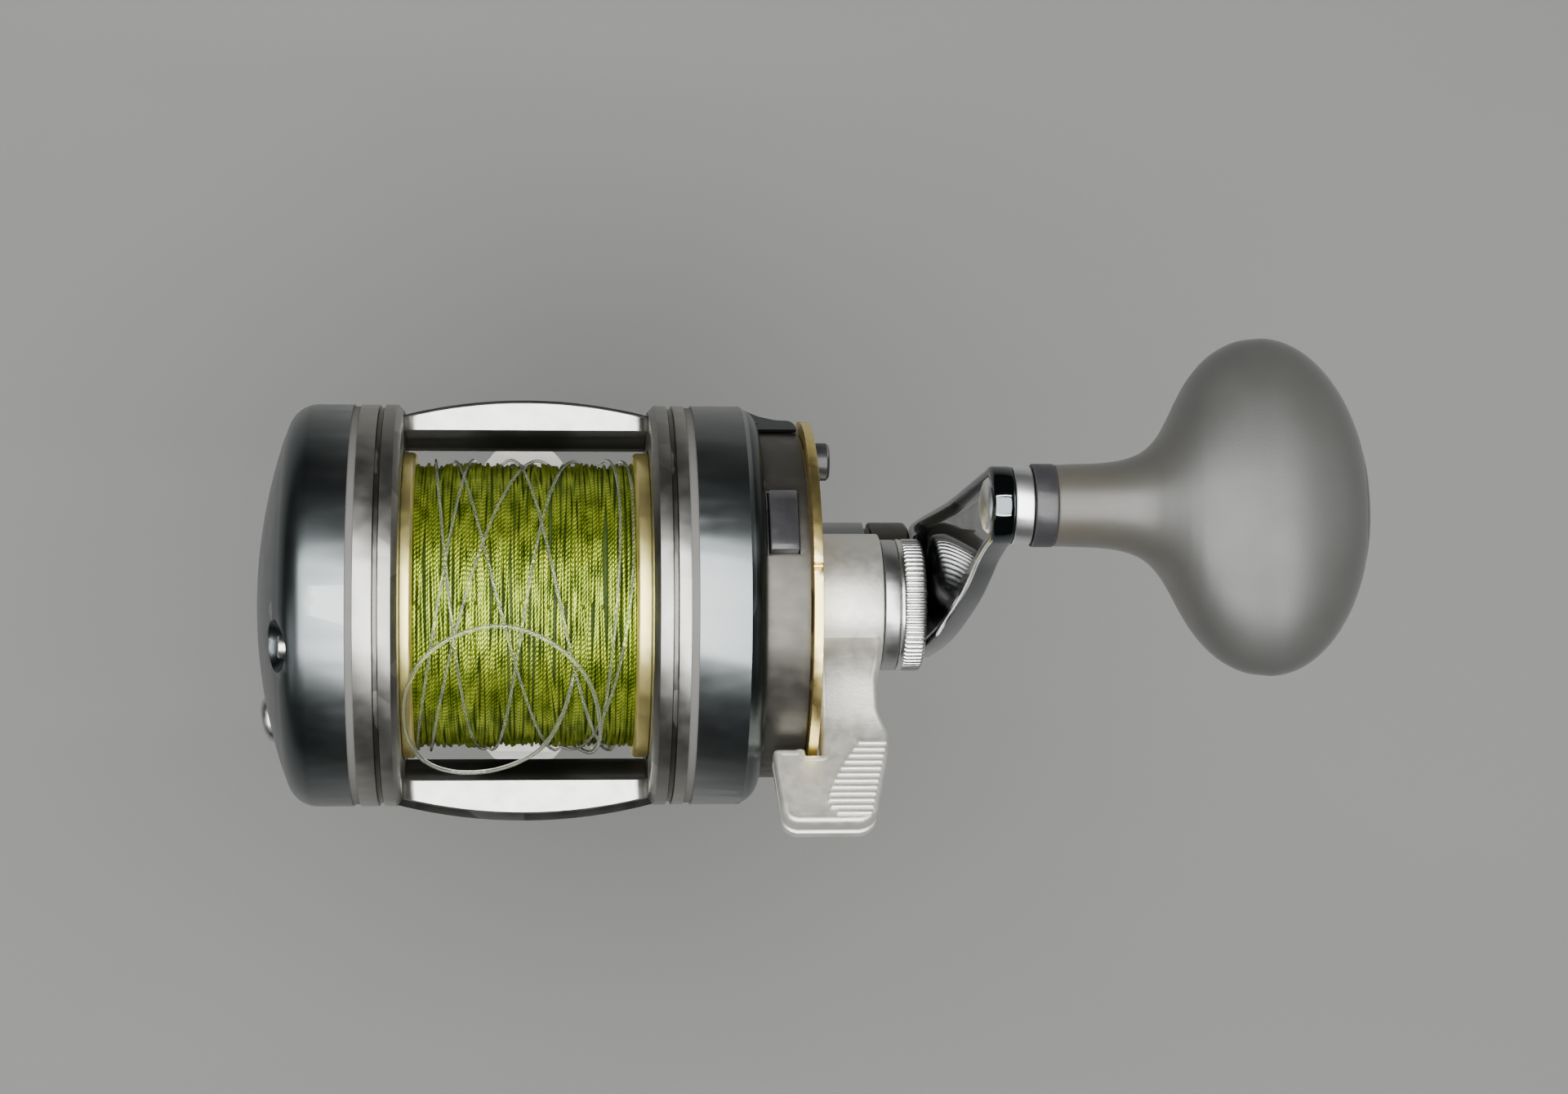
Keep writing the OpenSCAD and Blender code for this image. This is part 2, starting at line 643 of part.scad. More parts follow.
// Handle
module handle_collar() { color("#3c4043") at_handle() ring([74.5, arm_span[0]], 5.5, shaft_r); }
module handle_arm() {
    color("#b9bcbf") at_handle() rotate([-arm_lean, 0, 0]) difference() {
        union() {
            translate([arm_span[0], 0, 0]) rotate([90, 0, 90]) linear_extrude(arm_span[1] - arm_span[0]) {
                circle(r = arm_hub_r);
                polygon([[-13.2, 0], [-13.9, 20], [-13.6, 36], [-12.6, 52], [-11, 67], [-9.4, 78], [-7.2, 88],
                    [-eye_r, arm_len], [eye_r, arm_len], [7.2, 86], [8, 68], [9, 51], [10.8, 30], [12, 16],
                    [13.2, 0]]);
                translate([0, arm_len]) circle(r = eye_r);
            }
            turned([[arm_span[1] - 1, 0], [arm_span[1] - 1, 10], [arm_span[1] + 1, 9.2],
                [arm_span[1] + 1.6, 8], [arm_span[1] + 1.6, 0]]);
        }
        rod([70, 90], shaft_r);
        translate([0, 0, arm_len]) rod([70, 90], 3);
    }
}
module handle_nut() {
    color("#c8c8c6") at_handle() difference() {
        intersection() {
            translate([arm_span[1] + 1.6, 0, 0]) rotate([0, 90, 0]) cylinder(h = 4, r = 6.2, $fn = 6);
            turned([[80, 0], [80, 7], [83.8, 7], [85.2, 5.2], [85.2, 0]]);
        }
        rod([80, 90], 2.8);
    }
}
module knob_post() {
    color("#c8c8c6") at_eye() turned([[arm_span[0] - 1.3, 0], [arm_span[0] - 1.1, 2.4],
        [arm_span[0] - 0.6, 4], [arm_span[0], 4.6], [arm_span[0], 3], [131, 3], [131.5, 2.5], [131.5, 0]]);
}
module knob_ferrule() {
    color("#c8c8c6") at_eye() ring([arm_span[1], 82.4], eye_r, 3);
}
grip_x = 86.3;
grip_end = 139.2;
module knob_collar() { color("#1f2022") at_eye() ring([82.6, grip_x], eye_r + 0.4, 3 + fit); }
module knob_bushings() {
    color("#b08d57") at_eye() {
        ring([grip_x + 0.4, 90.6], 4.6, 3 + fit);
        ring([125, 130], 4.6, 3 + fit);
    }
}
module grip_knob() {
    half = grip_len / 2;
    outline = [[grip_x, 6.7], [94, 7], [98, 7.6], [101.4, 9], [104, 11.6], [106, 15], [107.6, 18.2],
        [109.8, 21.8], [113, 25.2], [117.2, 27.5], [121.6, half], [125.8, 27.6], [129.8, 25.2],
        [133.4, 20.5], [136, 15], [138.2, 8.6], [grip_end, 3]];
    side = [[grip_x, 6.7], [98, 7], [103, 8.6], [109, 11.4], [115, grip_depth / 2], [122, grip_depth / 2],
        [130, 11.2], [136, 7.6], [grip_end, 3]];
    both = function (p) concat(p, [for (i = [len(p) - 1:-1:0]) [p[i][0], -p[i][1]]]);
    color("#4b4a47") at_eye() difference() {
        intersection() {
            translate([0, 0, -grip_depth]) linear_extrude(2 * grip_depth) polygon(both(outline));
            rotate([90, 0, 0]) translate([0, 0, -grip_len]) linear_extrude(2 * grip_len) polygon(both(side));
        }
        rod([grip_x - 1, 132], 3 + 2 * fit);
        rod([grip_x - 1, 90.7], 4.6);
        rod([124.9, 132], 4.6);
        rod([137.2, 140], 6);
    }
}
module grip_end_cap() {
    color("#454441") at_eye() turned([[137.2, 0], [137.2, 5.95], [138.4, 5.95], [139, 4.4], [grip_end, 0]]);
}

frame();
reel_foot();
foot_screws();
left_cap();
left_gasket();
left_cap_screws();
left_bushing();
clicker_button();
clicker_pawl();
clicker_gear();
spindle();
spool();
line_pack();
leader_loop();
spool_bearings();
drag_washer();
drive_plate();
pinion();
pinion_bearing();
inner_plate();
main_gear();
gear_shaft();
shaft_bushings();
ratchet_wheel();
dog_front();
dog_rear();
dog_pins();
right_gasket();
right_plate();
right_plate_screws();
quadrant_drum();
drum_screws();
quadrant_plate();
quadrant_screws();
strike_button();
stop_peg();
spring_washers();
lever_cam();
drag_lever();
preset_collar();
preset_knob();
shaft_guard();
guard_screws();
handle_collar();
handle_arm();
handle_nut();
knob_post();
knob_ferrule();
knob_collar();
knob_bushings();
grip_knob();
grip_end_cap();
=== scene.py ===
"""Looks of a lever-drag trolling reel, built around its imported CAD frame. Metres, +Z up."""
import json
import math
import random

import bmesh
import bpy
from mathutils import Matrix, Vector


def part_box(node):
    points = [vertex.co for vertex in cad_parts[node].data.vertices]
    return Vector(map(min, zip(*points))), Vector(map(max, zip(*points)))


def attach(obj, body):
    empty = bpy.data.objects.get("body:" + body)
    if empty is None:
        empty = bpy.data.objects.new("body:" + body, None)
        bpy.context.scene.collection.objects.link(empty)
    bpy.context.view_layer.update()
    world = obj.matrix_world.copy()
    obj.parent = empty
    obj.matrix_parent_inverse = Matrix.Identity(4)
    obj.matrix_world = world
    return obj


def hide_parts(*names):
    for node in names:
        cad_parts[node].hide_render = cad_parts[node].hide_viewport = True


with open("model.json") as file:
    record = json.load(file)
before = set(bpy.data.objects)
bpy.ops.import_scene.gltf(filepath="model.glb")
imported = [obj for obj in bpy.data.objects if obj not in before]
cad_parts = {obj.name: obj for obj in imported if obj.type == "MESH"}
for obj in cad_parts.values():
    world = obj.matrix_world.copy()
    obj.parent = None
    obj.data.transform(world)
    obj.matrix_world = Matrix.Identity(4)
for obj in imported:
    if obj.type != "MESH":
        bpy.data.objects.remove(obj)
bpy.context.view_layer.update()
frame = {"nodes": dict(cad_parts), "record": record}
nodes = frame["nodes"]
MM = 0.001


# ---------------------------------------------------------------- places read from the frame
def centre(name):
    low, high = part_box(name)
    return (Vector(low) + Vector(high)) / 2


AXIS_Z = centre("spool")[2]
LINE_LOW, LINE_HIGH = (Vector(v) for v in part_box("line_pack"))
LINE_R = (LINE_HIGH.z - LINE_LOW.z) / 2
EYE = centre("knob_ferrule")
HANDLE = centre("handle_collar")
# The bars' flat tops: middle and half length along X, and height above the spool axis
BAR_MIDDLE = 0.00035
BAR_HALF = 0.0226
BAR_TOP = 0.005


# ---------------------------------------------------------------- camera
CAMERA_HEIGHT = 0.57
CAMERA_AIM = (0.049, 0.011)
LENS = 69.4


def make_camera():
    """Straight above the spool, turned a little towards the handle."""
    place = Vector((0, 0, AXIS_Z + CAMERA_HEIGHT))
    target = Vector((*CAMERA_AIM, AXIS_Z))
    back = (place - target).normalized()
    right = Vector((0, 1, 0)).cross(back).normalized()
    up = back.cross(right)
    data = bpy.data.cameras.new("camera")
    data.lens = LENS
    data.sensor_width = 36
    data.clip_start = 0.01
    camera = bpy.data.objects.new("camera", data)
    camera.matrix_world = Matrix((
        (right.x, up.x, back.x, place.x),
        (right.y, up.y, back.y, place.y),
        (right.z, up.z, back.z, place.z),
        (0, 0, 0, 1),
    ))
    bpy.context.collection.objects.link(camera)
    bpy.context.scene.camera = camera


make_camera()


# ---------------------------------------------------------------- mesh helpers
def add_object(name, data, material):
    piece = bpy.data.objects.new(name, data)
    bpy.context.collection.objects.link(piece)
    piece.data.materials.append(material)
    return piece


def add_mesh(name, verts, faces, material):
    """A new mesh object from vertex and face lists, with its normals made to point outward."""
    data = bpy.data.meshes.new(name)
    data.from_pydata([tuple(v) for v in verts], [], faces)
    bm = bmesh.new()
    bm.from_mesh(data)
    bmesh.ops.recalc_face_normals(bm, faces=bm.faces)
    bm.to_mesh(data)
    bm.free()
    data.polygons.foreach_set("use_smooth", [True] * len(data.polygons))
    return add_object(name, data, material)


def round_edges(piece, width):
    """Softly rounded edges on a CAD node. The base mesh stays as it is."""
    weld = piece.modifiers.new("weld", "WELD")
    weld.merge_threshold = 0.00002
    rounded = piece.modifiers.new("rounded", "BEVEL")
    rounded.width = width
    rounded.segments = 3
    rounded.limit_method = "ANGLE"
    rounded.angle_limit = math.radians(32)
    rounded.harden_normals = True
    rounded.miter_outer = "MITER_ARC"


def grid_faces(rows, columns, closed_rows=False, closed_columns=True):
    """Quads over a grid of vertices laid out row by row."""
    faces = []
    for i in range(rows if closed_rows else rows - 1):
        for k in range(columns if closed_columns else columns - 1):
            a = i * columns + k
            b = i * columns + (k + 1) % columns
            c = ((i + 1) % rows) * columns + (k + 1) % columns
            d = ((i + 1) % rows) * columns + k
            faces.append((a, b, c, d))
    return faces


def tube(path, radius, sides):
    """Vertices and faces of a round tube along a path of vectors, its ends closed."""
    verts = []
    last = len(path) - 1
    for i, p in enumerate(path):
        along = (path[min(i + 1, last)] - path[max(i - 1, 0)]).normalized()
        outward = Vector((0, p.y, p.z - AXIS_Z))
        across = along.cross(outward).normalized()
        up = across.cross(along)
        for k in range(sides):
            a = math.tau * k / sides
            verts.append(p + radius * (math.cos(a) * across + math.sin(a) * up))
    faces = grid_faces(len(path), sides)
    faces.append(tuple(range(sides))[::-1])
    faces.append(tuple(last * sides + k for k in range(sides)))
    return verts, faces


def around_spool(x, angle, radius):
    """A point from its X, its angle behind the top (radians) and its distance from the spool axis."""
    return Vector((x, -radius * math.sin(angle), AXIS_Z + radius * math.cos(angle)))


def smooth_path(points, steps):
    """Catmull-Rom curve through the points."""
    path = []
    last = len(points) - 1
    for i in range(last):
        a, b = points[max(i - 1, 0)], points[i]
        c, d = points[i + 1], points[min(i + 2, last)]
        for k in range(steps):
            t = k / steps
            path.append(0.5 * (2 * b + (c - a) * t + (2 * a - 5 * b + 4 * c - d) * t * t
                               + (3 * b - a - 3 * c + d) * t ** 3))
    path.append(points[last])
    return path


# ---------------------------------------------------------------- materials
class Finish:
    """A principled material whose colour, roughness and relief come from object-space textures."""

    def __init__(self, name, color, roughness, metallic=0.0, **sockets):
        self.material = bpy.data.materials.new(name)
        self.material.use_nodes = True
        self.tree = self.material.node_tree
        self.shader = self.tree.nodes["Principled BSDF"]
        self.shader.inputs["Base Color"].default_value = (*color, 1)
        self.shader.inputs["Roughness"].default_value = roughness
        self.shader.inputs["Metallic"].default_value = metallic
        for key, value in sockets.items():
            self.shader.inputs[key.replace("_", " ")].default_value = value
        self.color = color
        self.roughness = roughness

    def link(self, output, target):
        self.tree.links.new(output, target)

    def coordinates(self, stretch=(1, 1, 1)):
        where = self.tree.nodes.new("ShaderNodeTexCoord")
        mapping = self.tree.nodes.new("ShaderNodeMapping")
        mapping.inputs["Scale"].default_value = stretch
        self.link(where.outputs["Object"], mapping.inputs["Vector"])
        return mapping.outputs["Vector"]

    def noise(self, size, detail=3, stretch=(1, 1, 1)):
        """Cloudy value between 0 and 1; size is the width of its features in metres."""
        node = self.tree.nodes.new("ShaderNodeTexNoise")
        node.inputs["Scale"].default_value = 1 / size
        node.inputs["Detail"].default_value = detail
        self.link(self.coordinates(stretch), node.inputs["Vector"])
        return node.outputs["Fac"]

    def cells(self, size, stretch=(1, 1, 1)):
        node = self.tree.nodes.new("ShaderNodeTexVoronoi")
        node.inputs["Scale"].default_value = 1 / size
        self.link(self.coordinates(stretch), node.inputs["Vector"])
        return node.outputs["Distance"]

    def compute(self, operation, *values):
        """A math node whose inputs are linked values or floats."""
        node = self.tree.nodes.new("ShaderNodeMath")
        node.operation = operation
        for socket, value in zip(node.inputs, values):
            if isinstance(value, float):
                socket.default_value = value
            else:
                self.link(value, socket)
        return node.outputs["Value"]

    def near(self, axis, middle, half):
        """1 where the surface lies within half of the middle along a world axis, and 0 elsewhere."""
        geometry = self.tree.nodes.new("ShaderNodeNewGeometry")
        split = self.tree.nodes.new("ShaderNodeSeparateXYZ")
        self.link(geometry.outputs["Position"], split.inputs["Vector"])
        return self.compute("COMPARE", split.outputs[axis], float(middle), float(half))

    def remap(self, value, low, high, out_low=0.0, out_high=1.0):
        node = self.tree.nodes.new("ShaderNodeMapRange")
        limits = {"From Min": low, "From Max": high, "To Min": out_low, "To Max": out_high}
        for key, number in limits.items():
            node.inputs[key].default_value = number
        self.link(value, node.inputs["Value"])
        return node.outputs["Result"]

    def mix(self, factor, first, second):
        """Blends two colours, or a linked colour and a fixed one, by a factor."""
        node = self.tree.nodes.new("ShaderNodeMix")
        node.data_type = "RGBA"
        self.link(factor, node.inputs["Factor"])
        for socket, value in ((node.inputs[6], first), (node.inputs[7], second)):
            if isinstance(value, tuple):
                socket.default_value = (*value, 1)
            else:
                self.link(value, socket)
        return node.outputs[2]

    def paint(self, color):
        self.link(color, self.shader.inputs["Base Color"])

    def vary_roughness(self, value, spread):
        ranged = self.remap(value, 0.25, 0.75, self.roughness - spread, self.roughness + spread)
        self.link(ranged, self.shader.inputs["Roughness"])

    def relief(self, value, depth, strength=0.5):
        """Adds a bump of that depth, in metres, on top of any relief already there."""
        node = self.tree.nodes.new("ShaderNodeBump")
        node.inputs["Strength"].default_value = strength
        node.inputs["Distance"].default_value = depth
        self.link(value, node.inputs["Height"])
        normal = self.shader.inputs["Normal"]
        if normal.links:
            self.link(normal.links[0].from_socket, node.inputs["Normal"])
        self.link(node.outputs["Normal"], normal)

    def worn_edges(self, color, wide, keep=0.6):
        """Lets the bare metal show through along sharp edges."""
        geometry = self.tree.nodes.new("ShaderNodeNewGeometry")
        edge = self.remap(geometry.outputs["Pointiness"], 0.5 + wide, 0.5 + wide * 3, 0, keep)
        base = self.shader.inputs["Base Color"]
        under = base.links[0].from_socket if base.links else self.color
        self.paint(self.mix(edge, under, color))


def scaled(color, factor):
    return tuple(min(c * factor, 1) for c in color)


def plate_metal():
    """Cool gunmetal of the side plates: satin, faintly mottled, bare metal on the sharp edges."""
    f = Finish("plate_metal", (0.092, 0.108, 0.110), 0.31, 1.0, Coat_Weight=0.15, Coat_Roughness=0.25)
    f.paint(f.mix(f.noise(0.012), scaled(f.color, 0.94), scaled(f.color, 1.06)))
    f.worn_edges((0.42, 0.44, 0.44), 0.012, 0.5)
    f.vary_roughness(f.noise(0.006, 4), 0.03)
    f.relief(f.noise(0.00025, 2), 0.000006, 0.3)
    f.relief(f.noise(0.004, 2), 0.00002, 0.06)
    return f.material


def frame_metal():
    """Warmer gunmetal of the frame, with fine turning marks. The bars' flat tops are painted a much lighter
    grey.
    """
    f = Finish("frame_metal", (0.130, 0.129, 0.118), 0.36, 1.0)
    f.paint(f.mix(f.noise(0.010), scaled(f.color, 0.9), scaled(f.color, 1.1)))
    f.worn_edges((0.55, 0.54, 0.50), 0.010, 0.6)
    along = f.near("X", BAR_MIDDLE, BAR_HALF)
    level = f.near("Z", AXIS_Z + BAR_TOP, 0.0003)
    # The bars' flat tops are painted a much lighter grey than the rest of the frame.
    bare = f.mix(f.noise(0.003, 4), (0.38, 0.38, 0.36), (0.66, 0.66, 0.63))
    rest_of_frame = f.shader.inputs["Base Color"].links[0].from_socket
    f.paint(f.mix(f.compute("MULTIPLY", along, level), rest_of_frame, bare))
    f.vary_roughness(f.noise(0.004, 4), 0.06)
    f.relief(f.noise(0.0003, 2, (4, 1, 1)), 0.00001, 0.4)
    return f.material


def gold_metal(name, color, roughness):
    f = Finish(name, color, roughness, 1.0)
    f.paint(f.mix(f.noise(0.006), scaled(color, 0.88), scaled(color, 1.08)))
    f.worn_edges((0.95, 0.84, 0.58), 0.015, 0.6)
    f.vary_roughness(f.noise(0.003, 4), 0.05)
    f.relief(f.noise(0.0004, 2, (6, 1, 1)), 0.000008, 0.3)
    return f.material


def drum_metal():
    """Matte warm grey coating of the quadrant drum."""
    f = Finish("drum_metal", (0.062, 0.059, 0.051), 0.40, 0.8)
    f.paint(f.mix(f.noise(0.008, 4), scaled(f.color, 0.85), scaled(f.color, 1.2)))
    f.worn_edges((0.32, 0.30, 0.27), 0.02, 0.5)
    f.vary_roughness(f.noise(0.003, 4), 0.08)
    f.relief(f.cells(0.0004), 0.00002, 0.3)
    return f.material


def lever_metal():
    """Blasted pewter casting with a fine pitted skin."""
    f = Finish("lever_metal", (0.70, 0.68, 0.62), 0.46, 0.8)
    f.paint(f.mix(f.noise(0.004, 5), scaled(f.color, 0.84), scaled(f.color, 1.14)))
    f.worn_edges((0.74, 0.73, 0.70), 0.02, 0.7)
    f.vary_roughness(f.noise(0.002, 4), 0.08)
    f.relief(f.noise(0.0005, 3), 0.00004, 0.6)
    f.relief(f.cells(0.0011), 0.00003, 0.35)
    return f.material


def chrome_metal(name, color, roughness):
    f = Finish(name, color, roughness, 1.0)
    f.paint(f.mix(f.noise(0.010), scaled(color, 0.94), color))
    f.vary_roughness(f.noise(0.005, 5), 0.03)
    f.relief(f.noise(0.006, 2), 0.00002, 0.12)
    return f.material


def steel_metal(name, color):
    f = Finish(name, color, 0.34, 1.0)
    f.paint(f.mix(f.noise(0.003), scaled(color, 0.85), scaled(color, 1.05)))
    f.vary_roughness(f.noise(0.001, 4), 0.08)
    f.relief(f.noise(0.0003, 2, (5, 1, 1)), 0.000008, 0.3)
    return f.material


def black_plastic(name, color, roughness):
    f = Finish(name, color, roughness)
    f.paint(f.mix(f.noise(0.004), scaled(color, 0.8), scaled(color, 1.3)))
    f.worn_edges((0.20, 0.20, 0.19), 0.03, 0.4)
    f.vary_roughness(f.noise(0.002, 4), 0.08)
    f.relief(f.noise(0.0003, 3), 0.00001, 0.4)
    return f.material


def grip_rubber():
    """Grey soft-touch rubber, rubbed a little browner round the neck, where it is also painted lighter as a
    sheen.
    """
    f = Finish("grip_rubber", (0.042, 0.042, 0.039), 0.44, 0.0, Sheen_Weight=0.1, Sheen_Roughness=0.5)
    f.shader.inputs["Specular IOR Level"].default_value = 0.75
    where = f.tree.nodes.new("ShaderNodeSeparateXYZ")
    f.link(f.coordinates(), where.inputs["Vector"])
    neck = f.remap(where.outputs["X"], EYE.x + 0.028, EYE.x + 0.008, 0, 1)
    mottled = f.mix(f.noise(0.014, 5), scaled(f.color, 0.9), scaled(f.color, 1.12))
    # Browner patches round the neck are rubbed wear, and their lighter tone is a painted sheen.
    rubbed_and_sheen_patches = f.mix(f.noise(0.006, 4), (0.048, 0.045, 0.036), (0.064, 0.058, 0.044))
    f.paint(f.mix(neck, mottled, rubbed_and_sheen_patches))
    f.vary_roughness(f.noise(0.008, 4), 0.06)
    f.relief(f.noise(0.0004, 3), 0.00003, 0.5)
    f.relief(f.noise(0.010, 2), 0.00006, 0.15)
    return f.material


def braid():
    """Lime braided line: diagonal plaiting along each strand, with painted shade in its grooves and a painted
    highlight on its crests, and paler and darker lengths.
    """
    f = Finish("line_braid", (0.16, 0.26, 0.03), 0.34, 0.8, Coat_Weight=0.12, Coat_Roughness=0.2)
    along = f.tree.nodes.new("ShaderNodeUVMap")
    along.uv_map = "strand"
    plait_relief_and_shade = f.tree.nodes.new("ShaderNodeTexWave")
    plait_relief_and_shade.wave_type = "BANDS"
    plait_relief_and_shade.bands_direction = "DIAGONAL"
    plait_relief_and_shade.inputs["Scale"].default_value = 1.0
    plait_relief_and_shade.inputs["Distortion"].default_value = 0.4
    f.link(along.outputs["UV"], plait_relief_and_shade.inputs["Vector"])
    # Each colour runs from painted shade in the plait's grooves to a painted highlight on its crests.
    dark = f.mix(plait_relief_and_shade.outputs["Fac"], (0.034, 0.062, 0.004), (0.230, 0.330, 0.018))
    pale = f.mix(plait_relief_and_shade.outputs["Fac"], (0.170, 0.240, 0.018), (0.680, 0.790, 0.085))
    lengths = f.remap(f.noise(0.005, 4, (2.5, 1, 1)), 0.34, 0.64)
    f.paint(f.mix(lengths, dark, pale))
    f.vary_roughness(f.noise(0.002), 0.08)
    f.relief(plait_relief_and_shade.outputs["Fac"], 0.00006, 0.8)
    return f.material


def mono(name):
    """Clear monofilament with a faint green cast."""
    f = Finish(name, (0.90, 0.94, 0.82), 0.06, 0.0, Transmission_Weight=0.95, IOR=1.36)
    f.vary_roughness(f.noise(0.003), 0.03)
    return f.material


PLATE = plate_metal()
FRAME_METAL = frame_metal()
GOLD = gold_metal("gold", (0.98, 0.82, 0.30), 0.40)
GOLD_PLATE = gold_metal("gold_brushed", (0.86, 0.66, 0.15), 0.30)
DRUM = drum_metal()
LEVER = lever_metal()
CHROME = chrome_metal("chrome", (0.90, 0.91, 0.90), 0.34)
BRIGHT_CHROME = chrome_metal("chrome_knurl", (0.85, 0.85, 0.83), 0.28)
# The arm's chrome colour is darkened far below real chrome: a painted dark reflection.
ARM_CHROME_DARK_REFLECTION = chrome_metal("chrome_arm_dark_reflection", (0.12, 0.135, 0.14), 0.07)
DARK_CHROME = chrome_metal("dark_chrome", (0.55, 0.56, 0.55), 0.34)
STEEL = steel_metal("steel", (0.60, 0.60, 0.58))
BRONZE = steel_metal("bronze", (0.60, 0.42, 0.20))
BLACK = black_plastic("black_satin", (0.022, 0.022, 0.024), 0.34)
GASKET = black_plastic("gasket_rubber", (0.050, 0.045, 0.038), 0.60)
CARBON = black_plastic("carbon", (0.030, 0.030, 0.032), 0.45)
GRIP = grip_rubber()
BRAID = braid()
MONO = mono("leader_mono")
MATERIALS = {
    "plate_metal": PLATE, "frame_metal": FRAME_METAL, "gold": GOLD, "gold_brushed": GOLD_PLATE,
    "drum_metal": DRUM, "lever_metal": LEVER, "chrome": CHROME, "dark_chrome": DARK_CHROME,
    "steel": STEEL, "bronze": BRONZE, "black_satin": BLACK, "gasket_rubber": GASKET,
    "carbon": CARBON, "grip_rubber": GRIP, "line_braid": BRAID, "leader_mono": MONO,
}


BEVELS = {
    "frame": 0.0004, "reel_foot": 0.0004, "left_cap": 0.0002, "right_plate": 0.0002, "spool": 0.0002,
    "quadrant_drum": 0.0002, "quadrant_plate": 0.0002, "strike_button": 0.0004, "stop_peg": 0.0003,
    "preset_collar": 0.0003, "preset_knob": 0.0001, "shaft_guard": 0.0003, "handle_nut": 0.0003,
    "knob_ferrule": 0.0002, "knob_collar": 0.0003, "knob_post": 0.0002, "handle_collar": 0.0002,
}


def finish_cad_nodes():
    """Every CAD node takes the material of its record slot, with rounded edges where they show."""
    for part in frame["record"]["subparts"]:
        node = nodes[part["node"]]
        node.data.materials.clear()
        node.data.materials.append(MATERIALS[part["material_slot"]])
        if part["node"] in BEVELS:
            round_edges(node, BEVELS[part["node"]])


finish_cad_nodes()


# ---------------------------------------------------------------- line on the spool
STRAND_R = 0.0003
TURN_STEPS = 96
PLAIT = 0.0009
WAVE_PERIOD = 0.628


def stray(rng, size, slowest=0.2, fastest=3.4, count=5):
    """A smooth wandering value as a function of the number of turns."""
    waves = [(rng.uniform(slowest, fastest), rng.uniform(0, math.tau), size * rng.uniform(0.3, 1))
             for _ in range(count)]
    return lambda turn: sum(a * math.sin(math.tau * f * turn + p) for f, p, a in waves) / count ** 0.5


def wind(rng, start, end, turns, radius, sideways, lift):
    """Path of a line wound from one side to the other, straying sideways and in height."""
    drift = stray(rng, sideways)
    height = stray(rng, lift)
    low, high = LINE_LOW.x + STRAND_R, LINE_HIGH.x - STRAND_R
    steps = int(turns * TURN_STEPS)
    path = []
    for i in range(steps + 1):
        turn = i / TURN_STEPS
        x = start + (end - start) * i / steps + drift(turn)
        path.append(around_spool(min(max(x, low), high), math.tau * turn, radius + height(turn)))
    return path


def strands(name, paths, radius, sides, material):
    """Many tubes as one piece, with a UV map that follows each strand for its plaiting."""
    verts, faces, along = [], [], []
    for path in paths:
        more, quads = tube(path, radius, sides)
        base = len(verts)
        verts += more
        faces += [tuple(base + v for v in face) for face in quads]
        travelled = 0.0
        for i, p in enumerate(path):
            travelled += (p - path[i - 1]).length if i else 0
            along += [(travelled / PLAIT * WAVE_PERIOD, k / sides) for k in range(sides)]
    piece = add_mesh(name, verts, faces, material)
    layer = piece.data.uv_layers.new(name="strand")
    for polygon in piece.data.polygons:
        sides_here = [along[v][1] for v in polygon.vertices]
        wraps = max(sides_here) - min(sides_here) > 0.5
        for loop in polygon.loop_indices:
            u, v = along[piece.data.loops[loop].vertex_index]
            layer.data[loop].uv = (u, (v + (wraps and v < 0.5)) * 2 * WAVE_PERIOD)
    return piece


def line_core():
    """The closely wound layers under the top one, painted dark as shade between the strands."""
    verts = []
    inner, outer = LINE_R - 0.012, LINE_R - 0.0009
    profile = [(LINE_LOW.x, inner), (LINE_LOW.x, outer), (LINE_HIGH.x, outer), (LINE_HIGH.x, inner)]
    for x, r in profile:
        verts += [around_spool(x, math.tau * k / TURN_STEPS, r) for k in range(TURN_STEPS)]
    return add_mesh("line_core", verts, grid_faces(4, TURN_STEPS, closed_rows=True), CORE_SHADE)


def make_line():
    """Close turns of braid, wider ones across them, and a few strays on top."""
    rng = random.Random(12)
    low, high = LINE_LOW.x, LINE_HIGH.x
    paths = [wind(rng, low, high, 62, LINE_R - 0.00062, 0.0005, 0.00012)]
    paths.append(wind(rng, high, low, 26, LINE_R - 0.00030, 0.0013, 0.00010))
    for _ in range(9):
        start = rng.uniform(low, high)
        end = start + rng.uniform(-0.012, 0.012)
        paths.append(wind(rng, start, end, 3, LINE_R - 0.00012, 0.0012, 0.00010))
    top = strands("line_windings", paths, STRAND_R, 6, BRAID)
    core = line_core()
    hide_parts("line_pack")
    for piece in (top, core):
        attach(piece, "spool_body")


WRAP_TURNS = 8.5
WRAP_R = 0.0003
TUCK_STEPS = 14
TUCK_DEPTH = 0.0018
SIDE_GAP = 0.0005


def make_leader_wraps():
    """Clear leader crossing the braid in long diagonals, its two ends tucked under."""
    rng = random.Random(5)
    path = []
    drift = stray(rng, 0.0034, 0.3, 1.3, 4)
    steps = int(WRAP_TURNS * TURN_STEPS)
    middle, swing = (LINE_LOW.x + LINE_HIGH.x) / 2, (LINE_HIGH.x - LINE_LOW.x) / 2 - 0.003
    for i in range(steps + 1):
        turn = i / TURN_STEPS
        x = middle + swing * math.sin(math.tau * turn * 0.37 + 0.6) + drift(turn)
        x = min(max(x, LINE_LOW.x + SIDE_GAP), LINE_HIGH.x - SIDE_GAP)
        lift = 0.0004 + 0.0003 * (1 + math.sin(math.tau * turn * 0.8)) / 2
        tucked = max(0, 1 - min(i, steps - i) / TUCK_STEPS)
        path.append(around_spool(x, math.tau * turn, LINE_R + lift - TUCK_DEPTH * tucked))
    piece = strands("leader_wraps", [path], WRAP_R, 8, MONO)
    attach(piece, "spool_body")


